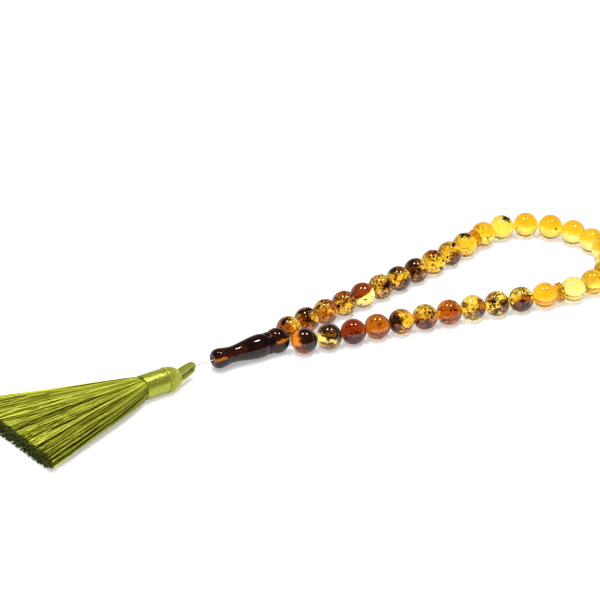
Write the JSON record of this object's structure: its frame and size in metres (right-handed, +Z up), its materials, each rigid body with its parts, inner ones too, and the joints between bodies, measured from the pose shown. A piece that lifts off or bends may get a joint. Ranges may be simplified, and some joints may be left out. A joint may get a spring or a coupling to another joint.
{
  "type": "prayer beads",
  "caption": "Misbaha prayer beads: round amber beads with scalloped separators on one thread, a turned imam head piece and a fringed silk tassel on a cord eye.",
  "frame": {"origin": "middle of the part's footprint, on the table it lies on", "axes": "+X from the tassel along the imam to the far end of the bead loop, +Y towards the farther strand, +Z up from the table"},
  "size_m": [0.282, 0.0708, 0.01],
  "materials": {
    "lemon_amber": "polished clear lemon amber, faint inclusions",
    "honey_amber": "polished clear honey amber, a few dark specks",
    "speckled_amber": "polished golden-brown amber with dark plant flecks",
    "cherry_amber": "polished dark cherry amber",
    "dark_amber": "polished near-black amber with orange and lemon windows",
    "pale_thread": "thin twisted off-white thread",
    "green_cord": "flat two-ridged satin cord, olive green",
    "green_silk": "loose silk strands with a satin sheen, olive green",
    "green_satin": "finely wound satin thread, olive green",
    "tie_thread": "plain tie thread, dark olive green"
  },
  "bodies": {
    "thread": {"stringing_thread": "pale_thread"},
    "bead_01": {"bead_01": "speckled_amber"},
    "bead_02": {"bead_02": "speckled_amber"},
    "bead_03": {"bead_03": "speckled_amber"},
    "bead_04": {"bead_04": "speckled_amber"},
    "bead_05": {"bead_05": "speckled_amber"},
    "bead_06": {"bead_06": "speckled_amber"},
    "bead_07": {"bead_07": "speckled_amber"},
    "bead_08": {"bead_08": "dark_amber"},
    "bead_09": {"bead_09": "speckled_amber"},
    "bead_10": {"bead_10": "speckled_amber"},
    "bead_11": {"bead_11": "speckled_amber"},
    "separator_1": {"separator_1": "honey_amber"},
    "bead_12": {"bead_12": "honey_amber"},
    "bead_13": {"bead_13": "honey_amber"},
    "bead_14": {"bead_14": "honey_amber"},
    "bead_15": {"bead_15": "honey_amber"},
    "bead_16": {"bead_16": "honey_amber"},
    "bead_17": {"bead_17": "honey_amber"},
    "bead_18": {"bead_18": "honey_amber"},
    "bead_19": {"bead_19": "lemon_amber"},
    "bead_20": {"bead_20": "lemon_amber"},
    "bead_21": {"bead_21": "lemon_amber"},
    "bead_22": {"bead_22": "lemon_amber"},
    "separator_2": {"separator_2": "honey_amber"},
    "bead_23": {"bead_23": "speckled_amber"},
    "bead_24": {"bead_24": "speckled_amber"},
    "bead_25": {"bead_25": "speckled_amber"},
    "bead_26": {"bead_26": "speckled_amber"},
    "bead_27": {"bead_27": "speckled_amber"},
    "bead_28": {"bead_28": "speckled_amber"},
    "bead_29": {"bead_29": "speckled_amber"},
    "bead_30": {"bead_30": "cherry_amber"},
    "bead_31": {"bead_31": "cherry_amber"},
    "bead_32": {"bead_32": "dark_amber"},
    "bead_33": {"bead_33": "dark_amber"},
    "imam": {"imam": "cherry_amber"},
    "end_loop": {"thread_knot": "pale_thread"},
    "tassel": {"tassel_eye": "green_cord", "tassel_head": "green_silk", "tassel_tie": "tie_thread", "tassel_wrap": "green_satin", "tassel_skirt": "green_silk"}
  },
  "joints": [
    {"name": "bead_01_spin", "type": "hinge", "parent": "thread", "child": "bead_01", "pos_m": [-0.00841, 0.00398, 0.005], "axis": [0.9637, 0.267, 0], "continuous": true},
    {"name": "bead_02_spin", "type": "hinge", "parent": "thread", "child": "bead_02", "pos_m": [0.0015, 0.00641, 0.005], "axis": [0.9807, 0.1957, 0], "continuous": true},
    {"name": "bead_03_spin", "type": "hinge", "parent": "thread", "child": "bead_03", "pos_m": [0.01155, 0.00812, 0.005], "axis": [0.9861, 0.1664, 0], "continuous": true},
    {"name": "bead_04_spin", "type": "hinge", "parent": "thread", "child": "bead_04", "pos_m": [0.02159, 0.0099, 0.005], "axis": [0.9833, 0.1818, 0], "continuous": true},
    {"name": "bead_05_spin", "type": "hinge", "parent": "thread", "child": "bead_05", "pos_m": [0.03161, 0.0118, 0.005], "axis": [0.982, 0.1889, 0], "continuous": true},
    {"name": "bead_06_spin", "type": "hinge", "parent": "thread", "child": "bead_06", "pos_m": [0.04163, 0.01375, 0.005], "axis": [0.9814, 0.1921, 0], "continuous": true},
    {"name": "bead_07_spin", "type": "hinge", "parent": "thread", "child": "bead_07", "pos_m": [0.05164, 0.01572, 0.005], "axis": [0.9805, 0.1965, 0], "continuous": true},
    {"name": "bead_08_spin", "type": "hinge", "parent": "thread", "child": "bead_08", "pos_m": [0.06163, 0.01778, 0.005], "axis": [0.9779, 0.2089, 0], "continuous": true},
    {"name": "bead_09_spin", "type": "hinge", "parent": "thread", "child": "bead_09", "pos_m": [0.07158, 0.02002, 0.005], "axis": [0.9721, 0.2344, 0], "continuous": true},
    {"name": "bead_10_spin", "type": "hinge", "parent": "thread", "child": "bead_10", "pos_m": [0.08144, 0.02261, 0.005], "axis": [0.961, 0.2764, 0], "continuous": true},
    {"name": "bead_11_spin", "type": "hinge", "parent": "thread", "child": "bead_11", "pos_m": [0.09118, 0.02563, 0.005], "axis": [0.9513, 0.3084, 0], "continuous": true},
    {"name": "separator_1_spin", "type": "hinge", "parent": "thread", "child": "separator_1", "pos_m": [0.09717, 0.02759, 0.005], "axis": [0.9533, 0.3021, 0], "continuous": true},
    {"name": "bead_12_spin", "type": "hinge", "parent": "thread", "child": "bead_12", "pos_m": [0.10321, 0.02939, 0.005], "axis": [0.9715, 0.2369, 0], "continuous": true},
    {"name": "bead_13_spin", "type": "hinge", "parent": "thread", "child": "bead_13", "pos_m": [0.1133, 0.03038, 0.005], "axis": [0.9932, -0.1167, 0], "continuous": true},
    {"name": "bead_14_spin", "type": "hinge", "parent": "thread", "child": "bead_14", "pos_m": [0.12273, 0.02679, 0.005], "axis": [0.8262, -0.5633, 0], "continuous": true},
    {"name": "bead_15_spin", "type": "hinge", "parent": "thread", "child": "bead_15", "pos_m": [0.12988, 0.01959, 0.005], "axis": [0.5844, -0.8115, 0], "continuous": true},
    {"name": "bead_16_spin", "type": "hinge", "parent": "thread", "child": "bead_16", "pos_m": [0.13445, 0.01052, 0.005], "axis": [0.2976, -0.9547, 0], "continuous": true},
    {"name": "bead_17_spin", "type": "hinge", "parent": "thread", "child": "bead_17", "pos_m": [0.13597, 0.00047, 0.005], "axis": [0.0121, -0.9999, 0], "continuous": true},
    {"name": "bead_18_spin", "type": "hinge", "parent": "thread", "child": "bead_18", "pos_m": [0.13463, -0.0096, 0.005], "axis": [-0.2909, -0.9567, 0], "continuous": true},
    {"name": "bead_19_spin", "type": "hinge", "parent": "thread", "child": "bead_19", "pos_m": [0.13003, -0.01865, 0.005], "axis": [-0.6019, -0.7985, 0], "continuous": true},
    {"name": "bead_20_spin", "type": "hinge", "parent": "thread", "child": "bead_20", "pos_m": [0.12262, -0.02559, 0.005], "axis": [-0.8346, -0.5509, 0], "continuous": true},
    {"name": "bead_21_spin", "type": "hinge", "parent": "thread", "child": "bead_21", "pos_m": [0.11332, -0.02963, 0.005], "axis": [-0.9739, -0.2271, 0], "continuous": true},
    {"name": "bead_22_spin", "type": "hinge", "parent": "thread", "child": "bead_22", "pos_m": [0.10318, -0.03021, 0.005], "axis": [-0.997, 0.0771, 0], "continuous": true},
    {"name": "separator_2_spin", "type": "hinge", "parent": "thread", "child": "separator_2", "pos_m": [0.09694, -0.02934, 0.005], "axis": [-0.9854, 0.1702, 0], "continuous": true},
    {"name": "bead_23_spin", "type": "hinge", "parent": "thread", "child": "bead_23", "pos_m": [0.09076, -0.02811, 0.005], "axis": [-0.9782, 0.2077, 0], "continuous": true},
    {"name": "bead_24_spin", "type": "hinge", "parent": "thread", "child": "bead_24", "pos_m": [0.08081, -0.02588, 0.005], "axis": [-0.9747, 0.2236, 0], "continuous": true},
    {"name": "bead_25_spin", "type": "hinge", "parent": "thread", "child": "bead_25", "pos_m": [0.07087, -0.02358, 0.005], "axis": [-0.9746, 0.2238, 0], "continuous": true},
    {"name": "bead_26_spin", "type": "hinge", "parent": "thread", "child": "bead_26", "pos_m": [0.06092, -0.02133, 0.005], "axis": [-0.9762, 0.2167, 0], "continuous": true},
    {"name": "bead_27_spin", "type": "hinge", "parent": "thread", "child": "bead_27", "pos_m": [0.05095, -0.01917, 0.005], "axis": [-0.9787, 0.2054, 0], "continuous": true},
    {"name": "bead_28_spin", "type": "hinge", "parent": "thread", "child": "bead_28", "pos_m": [0.04096, -0.01714, 0.005], "axis": [-0.9814, 0.192, 0], "continuous": true},
    {"name": "bead_29_spin", "type": "hinge", "parent": "thread", "child": "bead_29", "pos_m": [0.03093, -0.01527, 0.005], "axis": [-0.9845, 0.1754, 0], "continuous": true},
    {"name": "bead_30_spin", "type": "hinge", "parent": "thread", "child": "bead_30", "pos_m": [0.02088, -0.01356, 0.005], "axis": [-0.9868, 0.162, 0], "continuous": true},
    {"name": "bead_31_spin", "type": "hinge", "parent": "thread", "child": "bead_31", "pos_m": [0.01081, -0.01192, 0.005], "axis": [-0.9864, 0.1643, 0], "continuous": true},
    {"name": "bead_32_spin", "type": "hinge", "parent": "thread", "child": "bead_32", "pos_m": [0.00077, -0.01011, 0.005], "axis": [-0.9803, 0.1976, 0], "continuous": true},
    {"name": "bead_33_spin", "type": "hinge", "parent": "thread", "child": "bead_33", "pos_m": [-0.00919, -0.00792, 0.005], "axis": [-0.9728, 0.2315, 0], "continuous": true},
    {"name": "imam_slide", "type": "slide", "parent": "thread", "child": "imam", "axis": [-1, 0, 0], "range_m": [0, 0.004]},
    {"name": "tassel_lift", "type": "hinge", "parent": "thread", "child": "end_loop", "pos_m": [-0.05443, -0.00166, 0.005], "axis": [0, 1, 0], "range_deg": [-75, 75]},
    {"name": "tassel_swing", "type": "hinge", "parent": "end_loop", "child": "tassel", "pos_m": [-0.05568, -0.00166, 0.005], "axis": [0, 0, 1], "range_deg": [-85, 70]}
  ]
}
